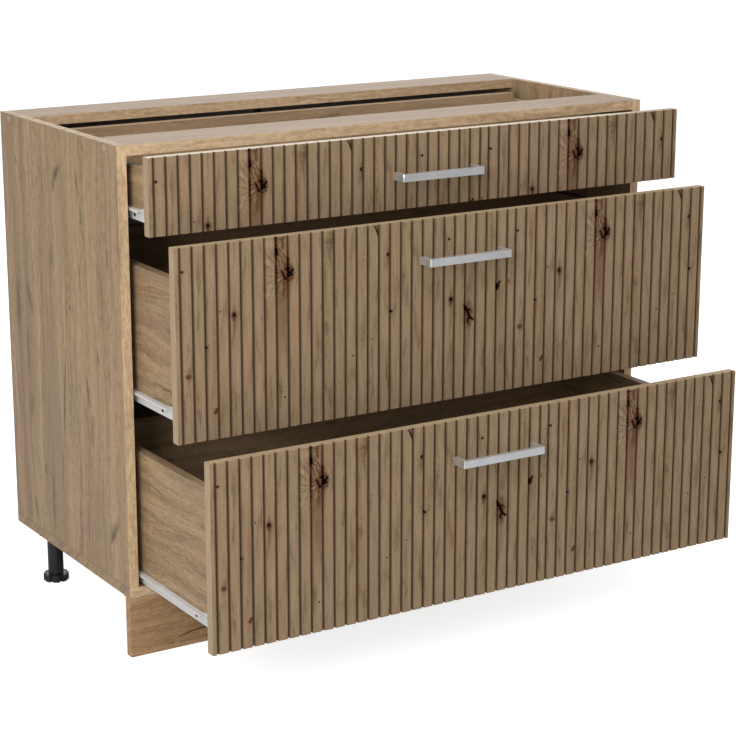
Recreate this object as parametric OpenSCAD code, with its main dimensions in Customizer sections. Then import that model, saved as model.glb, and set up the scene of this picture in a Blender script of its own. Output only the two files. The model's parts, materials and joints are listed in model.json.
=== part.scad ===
// Kitchen base cabinet with three drawers behind vertically grooved fronts.
// Millimetres, +Z up, +X to the viewer's right, drawers open towards -Y.
// The origin is on the floor, at the middle of the cabinet with its drawers standing open.

/* [Carcass] */
// Overall width across the two side panels
cabinet_w = 1000; // [700:50:1200]
// Height from the floor to the top of the side panels
cabinet_h = 820; // [780:10:880]
// Depth of the carcass from its front edges to the back of the hardboard
cabinet_d = 450; // [450:10:560]
// Thickness of the chipboard
board_t = 16; // [16:1:18]
// Thickness of the hardboard used for the back and the drawer bases
hardboard_t = 3; // [2.5:0.5:3.5]
// Depth of the flat rail behind the front edge
front_rail_w = 95; // [85:5:110]
// Depth of the flat rail at the back
rear_rail_w = 90; // [85:5:110]
// Clear height under the bottom panel
leg_h = 100; // [95:5:130]
// How far the joint of the two back boards lies from the middle
strip_shift = -11; // [-40:1:40]
// Width of the plastic strip over that joint
strip_w = 13; // [11:1:18]

/* [Fronts] */
// Thickness of the drawer fronts
front_t = 16; // [16:1:19]
// Height of the top front
top_front_h = 118; // [112:2:130]
// Gap between one front and the next
front_gap = 3; // [2:0.5:4]
// Distance from the top of the carcass down to the top front
top_reveal = 4.5; // [3:0.5:6]
// How far the lowest front hangs below the bottom panel
front_drop = 0.5; // [0:0.5:2]
// Distance of each front's ends from the outside of the carcass
front_inset = 2; // [1:0.5:3]

/* [Grooves] */
// Distance from one groove to the next
groove_pitch = 20.05; // [18:0.05:24]
// Width of a groove
groove_w = 4; // [3:0.5:6]
// Depth of a groove
groove_depth = 4.5; // [3:0.5:5]
// Distance of the first groove from the left end of a front
groove_first = 9; // [8:0.5:12]
// Slats in one milled panel before the narrow slat that starts the next
slats_per_panel = 30; // [20:1:60]
// How much narrower than the others that slat is
slat_short = 3.35; // [0:0.05:6]

/* [Drawers] */
// How far the top drawer stands open
open_top = 85; // [20:5:280]
// How far the middle drawer stands open
open_middle = 163; // [20:1:280]
// How far the bottom drawer stands open
open_bottom = 261; // [20:1:280]
// Length of the drawer sides
box_l = 416; // [410:1:418]
// Height of the base groove above the lower edge of a drawer side
base_up = 10; // [8:1:14]
// Depth of the groove that takes the edge of a base
base_groove = 6; // [5:0.5:7]
// Distance from the top of a tall front down to its drawer sides
side_drop = 60.3; // [40:0.1:100]
// Space above the back of the top drawer
rail_clear = 3.3; // [2:0.1:6]

/* [Runners] */
// Space on each side between drawer and carcass
runner_gap = 12.5; // [12.5:0.1:13.5]
// Length of a runner
runner_l = 400; // [380:10:400]
// Height of the drawer member
runner_h = 18; // [17.5:0.1:20]
// Thickness of the runner steel
steel_t = 1.2; // [1:0.1:1.2]
// How far the track stands out from the drawer side
track_w = 8.5; // [8.2:0.1:8.8]
// Depth of the lip at the outer edge of the track
track_lip = 4; // [3:0.5:4.5]
// Radius of a roller
roller_r = 7.5; // [7:0.1:7.8]
// Width of a roller
roller_w = 4.6; // [4:0.1:4.6]
// Height of the top drawer's runner above the lower edge of its front
top_runner_rise = 9; // [8:0.5:14]

/* [Handles] */
// Length of a handle
handle_l = 154; // [110:1:200]
// Height of the handle bar
handle_h = 12; // [10:0.5:16]
// Thickness of the bar and of its two legs
handle_t = 8; // [8:0.5:12]
// How far a handle stands out from the front
handle_out = 30; // [26:1:40]
// Distance from the top of a front down to the middle of its handle
handle_down = 64; // [45:1:80]
// How far the handles are set to the right of the middle
handle_shift = 4; // [-20:1:20]

/* [Legs] */
// Diameter of a leg tube
leg_d = 27; // [25:0.5:30]
// Diameter of a foot
foot_d = 44; // [40:1:50]
// Thickness of a foot
foot_h = 12; // [10:0.5:15]
// Distance of the legs from the outside of the side panels
leg_in_x = 44; // [40:1:80]
// Distance of the legs from the front and back of the carcass
leg_in_y = 55; // [50:1:80]

/* [Hidden] */

// Named clearances
seat = 0.1;
shaft_play = 0.05;
slide_play = 0.3;
eps = 0.01;

// Colours of the materials
oak = [0.62, 0.52, 0.41];
oak_front = [0.60, 0.49, 0.37];
grey_board = [0.45, 0.45, 0.43];
white_steel = [0.85, 0.86, 0.87];
nylon = [0.92, 0.91, 0.88];
bright_metal = [0.72, 0.73, 0.75];
black_plastic = [0.10, 0.10, 0.10];
zinc = [0.66, 0.67, 0.68];
beige_cap = [0.68, 0.58, 0.46];
beech = [0.78, 0.65, 0.47];
brown_strip = [0.20, 0.16, 0.13];

// Levels and widths that follow from the sizes above
half_w = cabinet_w / 2;
inner_half = half_w - board_t;
floor_z = leg_h + board_t;
rail_z = cabinet_h - board_t;
back_y = cabinet_d - hardboard_t;
box_half = inner_half - runner_gap;
tray_half = box_half - board_t;
front_w = cabinet_w - 2 * front_inset;
fronts_z = leg_h - front_drop;
tall_front_h = (cabinet_h - top_reveal - top_front_h - 2 * front_gap - fronts_z) / 2;
base_raise = base_up + hardboard_t;

// One row for each drawer: opening, foot of its front, height of its front
OPEN = [open_top, open_middle, open_bottom];
FRONT_Z = [cabinet_h - top_reveal - top_front_h, fronts_z + tall_front_h + front_gap, fronts_z];
FRONT_H = [top_front_h, tall_front_h, tall_front_h];
floor_gap = 2;
tall_rise = board_t + front_drop + floor_gap;
RUNNER_Z = [FRONT_Z[0] + top_runner_rise, FRONT_Z[1] + tall_rise, FRONT_Z[2] + tall_rise];
low_side_h = rail_z - rail_clear - base_raise - RUNNER_Z[0] - steel_t;
tall_side_h = tall_front_h - tall_rise - steel_t - side_drop;
SIDE_H = [low_side_h, tall_side_h, tall_side_h];

// The middle of the whole object from front to back, with the drawers standing open
strip_t = 1;
reach_front = max(OPEN) + front_t + handle_out;
reach_back = cabinet_d + seat + strip_t;
middle_y = (reach_back - reach_front) / 2;

module placed() {
    translate([0, -middle_y, 0]) children();
}

// A shape on the left side is drawn at side = -1 and mirrored for side = 1
module on_side(side) {
    if (side < 0) children();
    else mirror([1, 0, 0]) children();
}

// A cylinder lying along X from x0 to x1
module rod_x(r, x0, x1, y, z, faces = 16) {
    translate([x0, y, z]) rotate([0, 90, 0]) cylinder(r = r, h = x1 - x0, $fn = faces);
}

// Chipboard screws: a flat head, a smooth neck and a core that bites into the board edge
screw_head_r = 5;
screw_head_h = 3.5;
screw_neck_r = 3.5;
screw_core_r = 2.5;
screw_l = 49;
cap_t = 0.9;
head_depth = screw_head_h + cap_t + seat;

module confirmat() {
    neck_end = board_t - head_depth + screw_head_h;
    rotate_extrude($fn = 16) polygon([
        [0, 0], [screw_head_r, 0], [screw_head_r, 1], [screw_neck_r, screw_head_h],
        [screw_neck_r, neck_end], [screw_core_r, neck_end],
        [screw_core_r, screw_l - 3], [0, screw_l]
    ]);
}

// The stepped bore that takes such a screw, from the outer face inwards
module confirmat_bore() {
    translate([0, 0, -eps]) cylinder(r = screw_head_r + seat, h = head_depth + eps, $fn = 16);
    cylinder(r = screw_neck_r + seat, h = board_t + eps, $fn = 16);
}

module confirmat_core_bore() {
    depth = screw_l + head_depth - screw_head_h - board_t + 2;
    translate([0, 0, -eps]) cylinder(r = screw_core_r + seat, h = depth, $fn = 16);
}

// Where the screws and dowels of the rails and of the bottom panel sit
FRONT_SCREW_Y = 45;
REAR_SCREW_Y = cabinet_d - 35;
dowel_step = 32;
RAIL_SCREWS = [FRONT_SCREW_Y, REAR_SCREW_Y];
RAIL_DOWELS = [FRONT_SCREW_Y + dowel_step, REAR_SCREW_Y - dowel_step];
BASE_SCREWS = [32, back_y / 2, back_y - 32];
rail_mid_z = cabinet_h - board_t / 2;
dowel_r = 4;
dowel_l = 30;
dowel_in_side = 10;

module side_panel(side) {
    on_side(side) difference() {
        translate([-half_w, 0, floor_z]) cube([board_t, back_y, cabinet_h - floor_z]);
        for (y = RAIL_SCREWS)
            translate([-half_w, y, rail_mid_z]) rotate([0, 90, 0]) confirmat_bore();
        for (y = RAIL_DOWELS)
            rod_x(dowel_r, -inner_half - dowel_in_side, -inner_half + eps, y, rail_mid_z);
        for (y = BASE_SCREWS)
            translate([-half_w + board_t / 2, y, floor_z]) confirmat_core_bore();
    }
}

module left_side_panel() {
    placed() color(oak) side_panel(-1);
}

module right_side_panel() {
    placed() color(oak) side_panel(1);
}

module bottom_panel() {
    placed() color(oak) difference() {
        translate([-half_w, 0, leg_h]) cube([cabinet_w, back_y, board_t]);
        for (side = [-1, 1], y = BASE_SCREWS)
            translate([side * (half_w - board_t / 2), y, leg_h]) confirmat_bore();
        for (side = [-1, 1], y = LEG_Y)
            translate([side * (half_w - leg_in_x), y, leg_h])
                for (a = [45 : 90 : 315]) rotate(a) translate([socket_screw_r, 0, -eps])
                    cylinder(r = 1.25, h = 12, $fn = 16);
    }
}

module rail(y, w) {
    difference() {
        translate([-inner_half, y, rail_z]) cube([2 * inner_half, w, board_t]);
        for (side = [-1, 1]) on_side(side) {
            for (s = RAIL_SCREWS) if (s > y && s < y + w)
                translate([-inner_half, s, rail_mid_z]) rotate([0, 90, 0]) confirmat_core_bore();
            for (s = RAIL_DOWELS) if (s > y && s < y + w)
                rod_x(dowel_r, -inner_half - eps, -inner_half + dowel_l - dowel_in_side, s, rail_mid_z);
        }
    }
}

module front_top_rail() {
    placed() color(oak) rail(0, front_rail_w);
}

module rear_top_rail() {
    placed() color(oak) rail(back_y - rear_rail_w, rear_rail_w);
}

// Two hardboards close the back, held together by a plastic strip of H section
web_t = 1;
module back_board(side) {
    edge = web_t / 2 + seat;
    x0 = side < 0 ? -half_w : strip_shift + edge;
    x1 = side < 0 ? strip_shift - edge : half_w;
    translate([x0, back_y, leg_h]) cube([x1 - x0, hardboard_t, cabinet_h - leg_h]);
}

module back_board_left() {
    placed() color(grey_board) back_board(-1);
}

module back_board_right() {
    placed() color(grey_board) back_board(1);
}

module back_joint_strip() {
    z0 = floor_z + slide_play;
    placed() color(brown_strip)
        translate([strip_shift, back_y, z0]) linear_extrude(rail_z - slide_play - z0) {
            translate([-strip_w / 2, -strip_t - seat]) square([strip_w, strip_t]);
            translate([-strip_w / 2, hardboard_t + seat]) square([strip_w, strip_t]);
            translate([-web_t / 2, -strip_t]) square([web_t, hardboard_t + 2 * strip_t]);
        }
}

module plinth_board() {
    placed() color(oak) difference() {
        translate([-half_w, 0, 0]) cube([cabinet_w, board_t, leg_h]);
        for (side = [-1, 1], s = [-1, 1])
            translate([side * (half_w - leg_in_x) + s * clip_screw_x, board_t + eps, clip_z])
                rotate([90, 0, 0]) cylinder(r = 1.25, h = 11, $fn = 16);
    }
}

// Adjustable legs: socket under the bottom panel, tube, and a foot on a threaded stem
LEG_Y = [leg_in_y, cabinet_d - leg_in_y];
socket_flange_r = 31;
socket_flange_t = 4;
socket_hub_r = leg_d / 2 + 4;
socket_hub_l = 22;
socket_screw_r = 25;
stem_r = 7;
collar_h = 2;
tube_z = foot_h + collar_h + seat;
thread_l = 26;

module at_legs() {
    for (side = [-1, 1], y = LEG_Y) translate([side * (half_w - leg_in_x), y, 0]) children();
}

module leg_sockets() {
    placed() color(black_plastic) at_legs() difference() {
        union() {
            translate([0, 0, leg_h - socket_flange_t]) cylinder(r = socket_flange_r, h = socket_flange_t, $fn = 32);
            translate([0, 0, leg_h - socket_hub_l]) cylinder(r = socket_hub_r, h = socket_hub_l, $fn = 32);
            for (a = [0 : 90 : 270]) rotate(a) translate([0, -1, leg_h - socket_hub_l + 6])
                cube([socket_flange_r - 3, 2, socket_hub_l - 7]);
        }
        translate([0, 0, leg_h - socket_hub_l - eps]) cylinder(r = leg_d / 2 + seat, h = socket_hub_l - 2, $fn = 32);
        for (a = [45 : 90 : 315]) rotate(a) translate([socket_screw_r, 0, leg_h - socket_flange_t - eps])
            cylinder(r = 2.2, h = socket_flange_t + 1, $fn = 16);
    }
}

module leg_tubes() {
    top_z = leg_h - 2 - 2 * seat;
    placed() color(black_plastic) at_legs() difference() {
        translate([0, 0, tube_z]) cylinder(r = leg_d / 2, h = top_z - tube_z, $fn = 32);
        translate([0, 0, tube_z - eps]) cylinder(r = stem_r + shaft_play, h = thread_l + 1, $fn = 24);
        translate([0, 0, tube_z + thread_l]) cylinder(r = leg_d / 2 - 3, h = top_z, $fn = 24);
    }
}

module foot(side, y) {
    placed() color(black_plastic) translate([side * (half_w - leg_in_x), y, 0]) {
        difference() {
            cylinder(r = foot_d / 2, h = foot_h, $fn = 32);
            for (a = [0 : 45 : 315]) rotate(a) translate([foot_d / 2 - 4, -2.5, -eps])
                cube([6, 5, foot_h + 1]);
        }
        translate([0, 0, foot_h - eps]) cylinder(r = leg_d / 2 - 2, h = collar_h + eps, $fn = 24);
        translate([0, 0, foot_h]) cylinder(r = stem_r, h = collar_h + thread_l + 8, $fn = 24);
    }
}

module foot_front_left() {
    foot(-1, LEG_Y[0]);
}

module foot_front_right() {
    foot(1, LEG_Y[0]);
}

module foot_rear_left() {
    foot(-1, LEG_Y[1]);
}

module foot_rear_right() {
    foot(1, LEG_Y[1]);
}

// Spring clips hold the plinth board to the front legs
clip_z = 58;
clip_h = 16;
clip_screw_x = 17;
module plinth_clips() {
    ring_in = leg_d / 2 + seat;
    ring_out = ring_in + 2.6;
    placed() color(black_plastic) for (side = [-1, 1])
        translate([side * (half_w - leg_in_x), LEG_Y[0], clip_z - clip_h / 2]) difference() {
            union() {
                cylinder(r = ring_out, h = clip_h, $fn = 32);
                translate([-5, board_t - LEG_Y[0], 0]) cube([10, LEG_Y[0] - board_t - ring_in, clip_h]);
                translate([-25, board_t - LEG_Y[0], 0]) cube([50, 3, clip_h]);
            }
            translate([0, 0, -1]) cylinder(r = ring_in, h = clip_h + 2, $fn = 32);
            translate([-9, 0, -1]) cube([18, ring_out + 1, clip_h + 2]);
            for (s = [-1, 1]) translate([s * clip_screw_x, board_t - LEG_Y[0] - 1, clip_h / 2])
                rotate([-90, 0, 0]) cylinder(r = 2.2, h = 5, $fn = 16);
        }
}

module confirmat_screws() {
    lift = head_depth - screw_head_h;
    placed() color(zinc) for (side = [-1, 1]) on_side(side) {
        for (y = RAIL_SCREWS)
            translate([-half_w + lift, y, rail_mid_z]) rotate([0, 90, 0]) confirmat();
        for (y = BASE_SCREWS)
            translate([-half_w + board_t / 2, y, leg_h + lift]) confirmat();
    }
}

module confirmat_caps() {
    placed() color(beige_cap) for (side = [-1, 1]) on_side(side)
        for (y = RAIL_SCREWS)
            rod_x(screw_head_r, -half_w + seat, -half_w + seat + cap_t, y, rail_mid_z);
}

module rail_dowels() {
    placed() color(beech) for (side = [-1, 1]) on_side(side)
        for (y = RAIL_DOWELS)
            rod_x(dowel_r - seat / 2, -inner_half - dowel_in_side + seat, -inner_half + dowel_l - dowel_in_side - 1, y, rail_mid_z);
}

// Roller runners. Heights are counted from the lower edge of the drawer member, and
// "out" is the distance from the inner face of the side panel towards the drawer.
plate_out = runner_gap - steel_t;
lip_out = runner_gap - track_w;
roller_out = (lip_out + steel_t + plate_out - roller_w) / 2;
front_roller_y = 28;
front_roller_h = runner_h - steel_t - shaft_play - roller_r;
channel_top = runner_h + 1;
rear_roller_h = channel_top - 0.45 - roller_r;
channel_floor = rear_roller_h - shaft_play - roller_r;
rear_roller_at = runner_l - 8;
runner_set_back = 2;
pin_r = 2;
axial_play = 0.1;

module cabinet_runner(side, i) {
    placed() color(white_steel) on_side(side) translate([-inner_half, 0, RUNNER_Z[i]]) {
        flange_y = front_roller_y + roller_r + 5;
        difference() {
            translate([0, runner_set_back, channel_floor - steel_t])
                cube([steel_t, runner_l, channel_top + 2 * steel_t - channel_floor]);
            for (y = [64, 192, 352])
                translate([-1, y, 11]) rotate([0, 90, 0]) cylinder(r = 2.5, h = steel_t + 2, $fn = 16);
        }
        for (z = [channel_floor - steel_t, channel_top])
            translate([0, flange_y, z])
                cube([plate_out - 0.5, runner_l + runner_set_back - flange_y, steel_t]);
        shoulder = roller_out - axial_play;
        rod_x(3.2, 0, shoulder, front_roller_y, front_roller_h);
        rod_x(pin_r, 0, roller_out + roller_w + axial_play + eps, front_roller_y, front_roller_h);
        rod_x(3.4, roller_out + roller_w + axial_play, plate_out - slide_play, front_roller_y, front_roller_h);
    }
}

module top_cabinet_runner_left() {
    cabinet_runner(-1, 0);
}

module top_cabinet_runner_right() {
    cabinet_runner(1, 0);
}

module middle_cabinet_runner_left() {
    cabinet_runner(-1, 1);
}

module middle_cabinet_runner_right() {
    cabinet_runner(1, 1);
}

module bottom_cabinet_runner_left() {
    cabinet_runner(-1, 2);
}

module bottom_cabinet_runner_right() {
    cabinet_runner(1, 2);
}

module drawer_runner(side, i) {
    foot_w = 12;
    track_y = front_roller_y - 4;
    track_end = rear_roller_at - roller_r - 4;
    lip_y = 60;
    flare = [46, 66];
    placed() color(white_steel) on_side(side)
        translate([-inner_half, -OPEN[i], RUNNER_Z[i]]) {
            difference() {
                translate([plate_out, 0, 0]) rotate([90, 0, 90]) linear_extrude(steel_t) polygon([
                    [0, 0], [runner_l, 0], [runner_l, runner_h], [flare[1], runner_h],
                    [flare[0], runner_h + 3.4], [0, runner_h + 3.4]
                ]);
                for (y = [84.5, 310]) hull() for (step = [-1.5, 1.5])
                    translate([plate_out - 1, y + step, 7.2]) rotate([0, 90, 0])
                        cylinder(r = 2.3, h = steel_t + 2, $fn = 16);
            }
            translate([plate_out, 0, 0]) cube([steel_t + foot_w, runner_l, steel_t]);
            translate([lip_out, track_y, runner_h - steel_t]) cube([track_w, track_end - track_y, steel_t]);
            translate([lip_out, lip_y, runner_h - track_lip]) cube([steel_t, track_end - lip_y, track_lip]);
            inner = roller_out + roller_w + axial_play;
            rod_x(3.2, inner, plate_out + steel_t / 2, rear_roller_at, rear_roller_h);
            rod_x(pin_r, roller_out - axial_play - eps, plate_out + steel_t / 2, rear_roller_at, rear_roller_h);
            rod_x(3.4, roller_out - axial_play - 0.8, roller_out - axial_play, rear_roller_at, rear_roller_h);
        }
}

module top_drawer_runner_left() {
    drawer_runner(-1, 0);
}

module top_drawer_runner_right() {
    drawer_runner(1, 0);
}

module middle_drawer_runner_left() {
    drawer_runner(-1, 1);
}

module middle_drawer_runner_right() {
    drawer_runner(1, 1);
}

module bottom_drawer_runner_left() {
    drawer_runner(-1, 2);
}

module bottom_drawer_runner_right() {
    drawer_runner(1, 2);
}

// A nylon roller with rounded shoulders on its pin
module roller() {
    soft = 0.5;
    rotate([0, 90, 0]) rotate_extrude($fn = 28) polygon([
        [pin_r + shaft_play, 0], [roller_r - soft, 0], [roller_r, soft],
        [roller_r, roller_w - soft], [roller_r - soft, roller_w], [pin_r + shaft_play, roller_w]
    ]);
}

module front_rollers(i) {
    placed() color(nylon) for (side = [-1, 1]) on_side(side)
        translate([-inner_half + roller_out, front_roller_y, RUNNER_Z[i] + front_roller_h]) roller();
}

module rear_rollers(i) {
    placed() color(nylon) for (side = [-1, 1]) on_side(side)
        translate([-inner_half + roller_out, rear_roller_at - OPEN[i], RUNNER_Z[i] + rear_roller_h]) roller();
}

module top_front_rollers() {
    front_rollers(0);
}

module middle_front_rollers() {
    front_rollers(1);
}

module bottom_front_rollers() {
    front_rollers(2);
}

module top_rear_rollers() {
    rear_rollers(0);
}

module middle_rear_rollers() {
    rear_rollers(1);
}

module bottom_rear_rollers() {
    rear_rollers(2);
}

// Grooved fronts: the same comb section for every front, seen from above
function groove_x(k) = groove_first + k * groove_pitch - floor(k / slats_per_panel) * slat_short;
grooves = [for (k = [0 : ceil(front_w / groove_pitch) + 2])
    if (groove_x(k) + groove_w / 2 < front_w - 4) groove_x(k)];

module comb_section() {
    difference() {
        square([front_w, front_t]);
        for (x = grooves) translate([x - groove_w / 2, -eps]) square([groove_w, groove_depth + eps]);
    }
}

handle_screw_x = handle_l / 2 - handle_t / 2;
handle_thread_r = 1.65;
handle_hole_r = 2.5;

function handle_z(i) = FRONT_Z[i] + FRONT_H[i] - handle_down;
function base_z(i) = RUNNER_Z[i] + steel_t + base_up;

module drawer_front(i) {
    placed() color(oak_front) translate([0, -OPEN[i], 0]) difference() {
        translate([-front_w / 2, -front_t, FRONT_Z[i]]) linear_extrude(FRONT_H[i]) comb_section();
        translate([-tray_half - base_groove, -base_groove, base_z(i)])
            cube([2 * (tray_half + base_groove), base_groove + eps, hardboard_t + 2 * seat]);
        for (s = [-1, 1]) translate([handle_shift + s * handle_screw_x, eps, handle_z(i)])
            rotate([90, 0, 0]) cylinder(r = handle_hole_r, h = front_t + 1, $fn = 16);
    }
}

module drawer_side(side, i) {
    placed() color(oak) on_side(side) translate([-box_half, -OPEN[i], RUNNER_Z[i] + steel_t]) difference() {
        cube([board_t, box_l, SIDE_H[i]]);
        translate([board_t - base_groove, -eps, base_up])
            cube([base_groove + eps, box_l + 1, hardboard_t + 2 * seat]);
    }
}

module drawer_back(i) {
    placed() color(oak) translate([-tray_half, box_l - board_t - OPEN[i], base_z(i) + hardboard_t])
        cube([2 * tray_half, board_t, SIDE_H[i]]);
}

module drawer_base(i) {
    edge = base_groove - 0.5;
    placed() color(grey_board) translate([-tray_half - edge, -edge - OPEN[i], base_z(i)])
        cube([2 * (tray_half + edge), box_l + edge, hardboard_t]);
}

// A square-cut bow handle: bar and two legs of one section, with rounded outer corners
module handle(i) {
    soft = 1.2;
    placed() color(bright_metal)
        translate([handle_shift, -front_t - OPEN[i], handle_z(i) - handle_h / 2]) difference() {
            linear_extrude(handle_h) polygon([
                [-handle_l / 2, 0], [-handle_l / 2, -handle_out + soft], [-handle_l / 2 + soft, -handle_out],
                [handle_l / 2 - soft, -handle_out], [handle_l / 2, -handle_out + soft], [handle_l / 2, 0],
                [handle_l / 2 - handle_t, 0], [handle_l / 2 - handle_t, -handle_out + handle_t],
                [-handle_l / 2 + handle_t, -handle_out + handle_t], [-handle_l / 2 + handle_t, 0]
            ]);
            for (s = [-1, 1]) translate([s * handle_screw_x, eps, handle_h / 2])
                rotate([90, 0, 0]) cylinder(r = handle_thread_r + seat, h = 14, $fn = 16);
        }
}

module handle_screws(i) {
    screw_in = 10;
    placed() color(zinc) for (s = [-1, 1])
        translate([handle_shift + s * handle_screw_x, -OPEN[i], handle_z(i)]) rotate([90, 0, 0]) {
            translate([0, 0, -2.4]) cylinder(r = 4.2, h = 2.4, $fn = 16);
            translate([0, 0, -eps]) cylinder(r = handle_thread_r, h = front_t + screw_in, $fn = 16);
        }
}

module top_drawer_front() {
    drawer_front(0);
}

module top_drawer_side_left() {
    drawer_side(-1, 0);
}

module top_drawer_side_right() {
    drawer_side(1, 0);
}

module top_drawer_back() {
    drawer_back(0);
}

module top_drawer_base() {
    drawer_base(0);
}

module top_handle() {
    handle(0);
}

module top_handle_screws() {
    handle_screws(0);
}

module middle_drawer_front() {
    drawer_front(1);
}

module middle_drawer_side_left() {
    drawer_side(-1, 1);
}

module middle_drawer_side_right() {
    drawer_side(1, 1);
}

module middle_drawer_back() {
    drawer_back(1);
}

module middle_drawer_base() {
    drawer_base(1);
}

module middle_handle() {
    handle(1);
}

module middle_handle_screws() {
    handle_screws(1);
}

module bottom_drawer_front() {
    drawer_front(2);
}

module bottom_drawer_side_left() {
    drawer_side(-1, 2);
}

module bottom_drawer_side_right() {
    drawer_side(1, 2);
}

module bottom_drawer_back() {
    drawer_back(2);
}

module bottom_drawer_base() {
    drawer_base(2);
}

module bottom_handle() {
    handle(2);
}

module bottom_handle_screws() {
    handle_screws(2);
}

left_side_panel();
right_side_panel();
bottom_panel();
front_top_rail();
rear_top_rail();
back_board_left();
back_board_right();
back_joint_strip();
plinth_board();
plinth_clips();
leg_sockets();
leg_tubes();
foot_front_left();
foot_front_right();
foot_rear_left();
foot_rear_right();
confirmat_screws();
confirmat_caps();
rail_dowels();
top_cabinet_runner_left();
top_cabinet_runner_right();
middle_cabinet_runner_left();
middle_cabinet_runner_right();
bottom_cabinet_runner_left();
bottom_cabinet_runner_right();
top_front_rollers();
middle_front_rollers();
bottom_front_rollers();
top_rear_rollers();
middle_rear_rollers();
bottom_rear_rollers();
top_drawer_front();
top_drawer_side_left();
top_drawer_side_right();
top_drawer_back();
top_drawer_base();
top_handle();
top_handle_screws();
top_drawer_runner_left();
top_drawer_runner_right();
middle_drawer_front();
middle_drawer_side_left();
middle_drawer_side_right();
middle_drawer_back();
middle_drawer_base();
middle_handle();
middle_handle_screws();
middle_drawer_runner_left();
middle_drawer_runner_right();
bottom_drawer_front();
bottom_drawer_side_left();
bottom_drawer_side_right();
bottom_drawer_back();
bottom_drawer_base();
bottom_handle();
bottom_handle_screws();
bottom_drawer_runner_left();
bottom_drawer_runner_right();
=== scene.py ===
"""Looks of a kitchen base cabinet: its finishes, small fittings, studio light and camera."""
import json
import logging
import math
from collections.abc import Callable, Iterable
from dataclasses import dataclass, replace
from enum import Enum
from functools import reduce

import bmesh
import bpy
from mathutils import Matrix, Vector

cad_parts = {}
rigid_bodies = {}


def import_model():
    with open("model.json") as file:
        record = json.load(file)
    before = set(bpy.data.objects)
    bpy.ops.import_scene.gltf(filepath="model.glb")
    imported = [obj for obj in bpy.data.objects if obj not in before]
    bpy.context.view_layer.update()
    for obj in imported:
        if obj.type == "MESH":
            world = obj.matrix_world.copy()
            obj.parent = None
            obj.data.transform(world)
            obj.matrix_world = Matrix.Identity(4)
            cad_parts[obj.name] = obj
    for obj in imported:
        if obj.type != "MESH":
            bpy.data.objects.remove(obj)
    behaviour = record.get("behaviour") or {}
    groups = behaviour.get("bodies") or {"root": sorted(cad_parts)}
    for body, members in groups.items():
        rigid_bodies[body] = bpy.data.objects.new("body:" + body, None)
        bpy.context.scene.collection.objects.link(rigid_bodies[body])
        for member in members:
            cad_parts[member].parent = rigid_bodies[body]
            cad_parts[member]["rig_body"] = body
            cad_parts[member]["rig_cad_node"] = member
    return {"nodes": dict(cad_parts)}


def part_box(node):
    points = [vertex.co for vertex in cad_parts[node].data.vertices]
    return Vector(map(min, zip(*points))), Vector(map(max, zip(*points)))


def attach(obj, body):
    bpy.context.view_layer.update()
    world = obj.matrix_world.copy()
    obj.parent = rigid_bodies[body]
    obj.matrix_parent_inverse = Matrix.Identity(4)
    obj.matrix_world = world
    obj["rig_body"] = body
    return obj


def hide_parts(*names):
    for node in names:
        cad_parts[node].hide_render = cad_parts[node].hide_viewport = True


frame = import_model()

log = logging.getLogger("base_cabinet")

Piece = bpy.types.Object
Material = bpy.types.Material
Number = float | int
Triple = tuple[float, float, float]
Colour = tuple[float, float, float, float]
# A place on a ramp, with its red, green and blue on a screen.
Stop = tuple[float, Number, Number, Number]
# Where a small copy stands, and which way its axis points.
Spot = tuple[Triple, Triple]

# Millimetres in a metre.
MM = 1000.0
# A face looks up where its normal's Z is above this.
LEVEL = 0.9
# Eased edge of a board in metres.
BOARD_EASE = 0.0004
# Edges that bend by more than this many degrees are sharp.
SHARP_ANGLE = 35
# Round faces bend by less than this many degrees.
ROUND_ANGLE = 40


class Axis(Enum):
    """The direction in which a board's grain runs."""

    X = 0
    Y = 1
    Z = 2


class Level(Enum):
    """The three drawers, from the top down."""

    TOP = "top"
    MIDDLE = "middle"
    BOTTOM = "bottom"


class KnotKind(Enum):
    """How a knot in the oak print looks."""

    PIN = "pin"
    SOUND = "sound"
    CRACKED = "cracked"
    SOFT = "soft"


PIN, SOUND, CRACKED, SOFT = KnotKind


def tone(red: Number, green: Number, blue: Number) -> Colour:
    """Turns a colour as seen on a screen, 0 to 255, into the linear colour of a shader.

    Args:
        red: Red part.
        green: Green part.
        blue: Blue part.

    Returns:
        Linear red, green, blue and full alpha.
    """
    parts = [c / 255 for c in (red, green, blue)]
    r, g, b = (c / 12.92 if c <= 0.04045 else ((c + 0.055) / 1.055) ** 2.4 for c in parts)
    return (r, g, b, 1.0)


def arithmetic(operation: str, turned: bool = False) -> Callable[..., "Wire"]:
    """Makes a method that adds one Math node.

    Args:
        operation: What the node does.
        turned: Whether the wire itself is the last value, as for a number less a wire.

    Returns:
        The method.
    """

    def calculate(self: "Wire", *others: "Wire | Number") -> "Wire":
        """Adds the node to this wire's bench."""
        values = (*others, self) if turned else (self, *others)
        return self.bench.node("ShaderNodeMath", {"operation": operation}, dict(enumerate(values)))

    return calculate


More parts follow.
